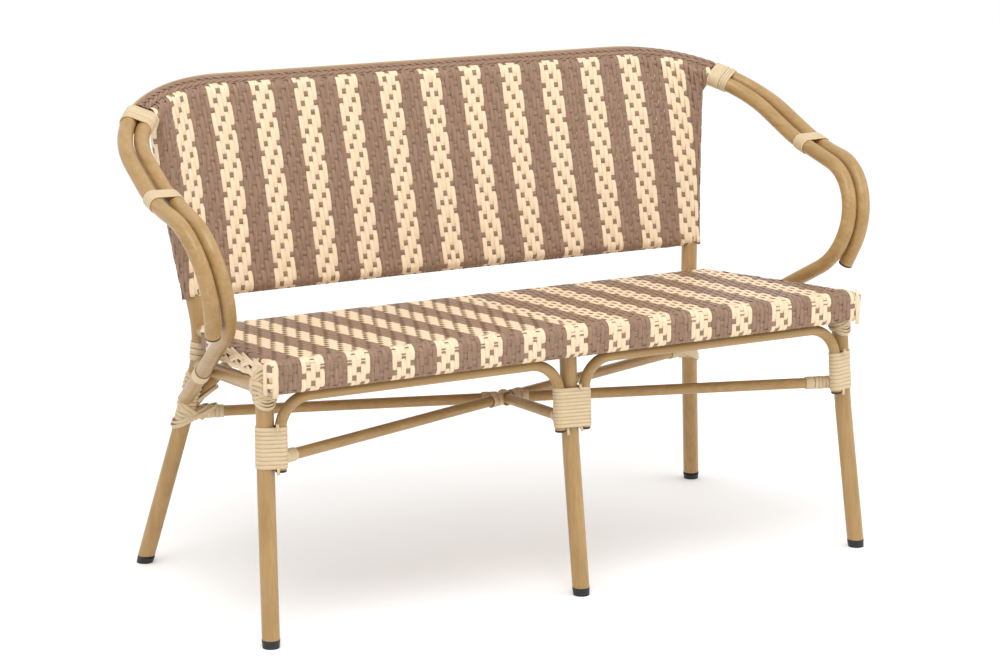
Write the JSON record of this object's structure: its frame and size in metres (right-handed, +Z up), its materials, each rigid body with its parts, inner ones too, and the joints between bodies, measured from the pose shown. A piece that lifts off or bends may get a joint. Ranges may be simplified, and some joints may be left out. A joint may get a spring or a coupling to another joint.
{
  "type": "cafe bench",
  "caption": "Bistro bench with a bent tube frame, looped arms, crossed stretchers, cord bindings and a striped woven seat and back.",
  "frame": {"origin": "on the floor, under the middle of the bench's width and depth", "axes": "+X along the bench to the sitter's left, +Y from the seat's front to its back, +Z up"},
  "size_m": [1.2828, 0.5747, 0.8145],
  "materials": {
    "frame_tube": "golden tan coating with faint lengthwise cane streaks, satin",
    "weave_strand": "flat woven strands in taupe brown and cream stripes, satin",
    "braid_brown": "brown herringbone braid of flat strands",
    "cord_cream": "cream flat cord, wound tightly, satin",
    "plug_black": "black moulded plastic",
    "glide_black": "black moulded plastic, lightly scuffed"
  },
  "bodies": {
    "root": {"arch_plugs": "plug_black", "arm_inner_left": "frame_tube", "arm_inner_right": "frame_tube", "arm_joint_binding_left": "cord_cream", "arm_joint_binding_right": "cord_cream", "arm_middle_binding_left": "cord_cream", "arm_middle_binding_right": "cord_cream", "arm_outer_left": "frame_tube", "arm_outer_right": "frame_tube", "arm_plugs": "plug_black", "arm_strap_left": "cord_cream", "arm_strap_right": "cord_cream", "back_bar_lower": "frame_tube", "back_rail_inner": "frame_tube", "back_rail_outer": "frame_tube", "back_weave": "weave_strand", "crossing_binding": "cord_cream", "foot_glides": "glide_black", "front_arch_left": "frame_tube", "front_arch_right": "frame_tube", "front_leg_center": "frame_tube", "front_leg_left": "frame_tube", "front_leg_right": "frame_tube", "leg_binding_center": "cord_cream", "leg_binding_left": "cord_cream", "leg_binding_right": "cord_cream", "leg_top_wrap_left": "cord_cream", "leg_top_wrap_right": "cord_cream", "rail_spigots": "frame_tube", "rear_arch": "frame_tube", "rear_leg_left": "frame_tube", "rear_leg_right": "frame_tube", "rear_leg_wrap_left": "cord_cream", "rear_leg_wrap_right": "cord_cream", "seat_bar_front_lower": "frame_tube", "seat_bar_front_upper": "frame_tube", "seat_bar_left": "frame_tube", "seat_bar_over_legs": "frame_tube", "seat_bar_rear": "frame_tube", "seat_bar_right": "frame_tube", "seat_braid_left": "cord_cream", "seat_braid_right": "cord_cream", "seat_support_bars": "frame_tube", "seat_weave": "weave_strand", "side_rail_left": "frame_tube", "side_rail_right": "frame_tube", "stretcher_center": "frame_tube", "stretcher_front_left": "frame_tube", "stretcher_rear_right": "frame_tube", "stretcher_through": "frame_tube", "stretcher_wrap_center": "cord_cream", "stretcher_wrap_front_left": "cord_cream", "stretcher_wrap_front_right": "cord_cream", "stretcher_wrap_rear_left": "cord_cream", "stretcher_wrap_rear_right": "cord_cream", "top_braid": "braid_brown"}
  },
  "joints": []
}
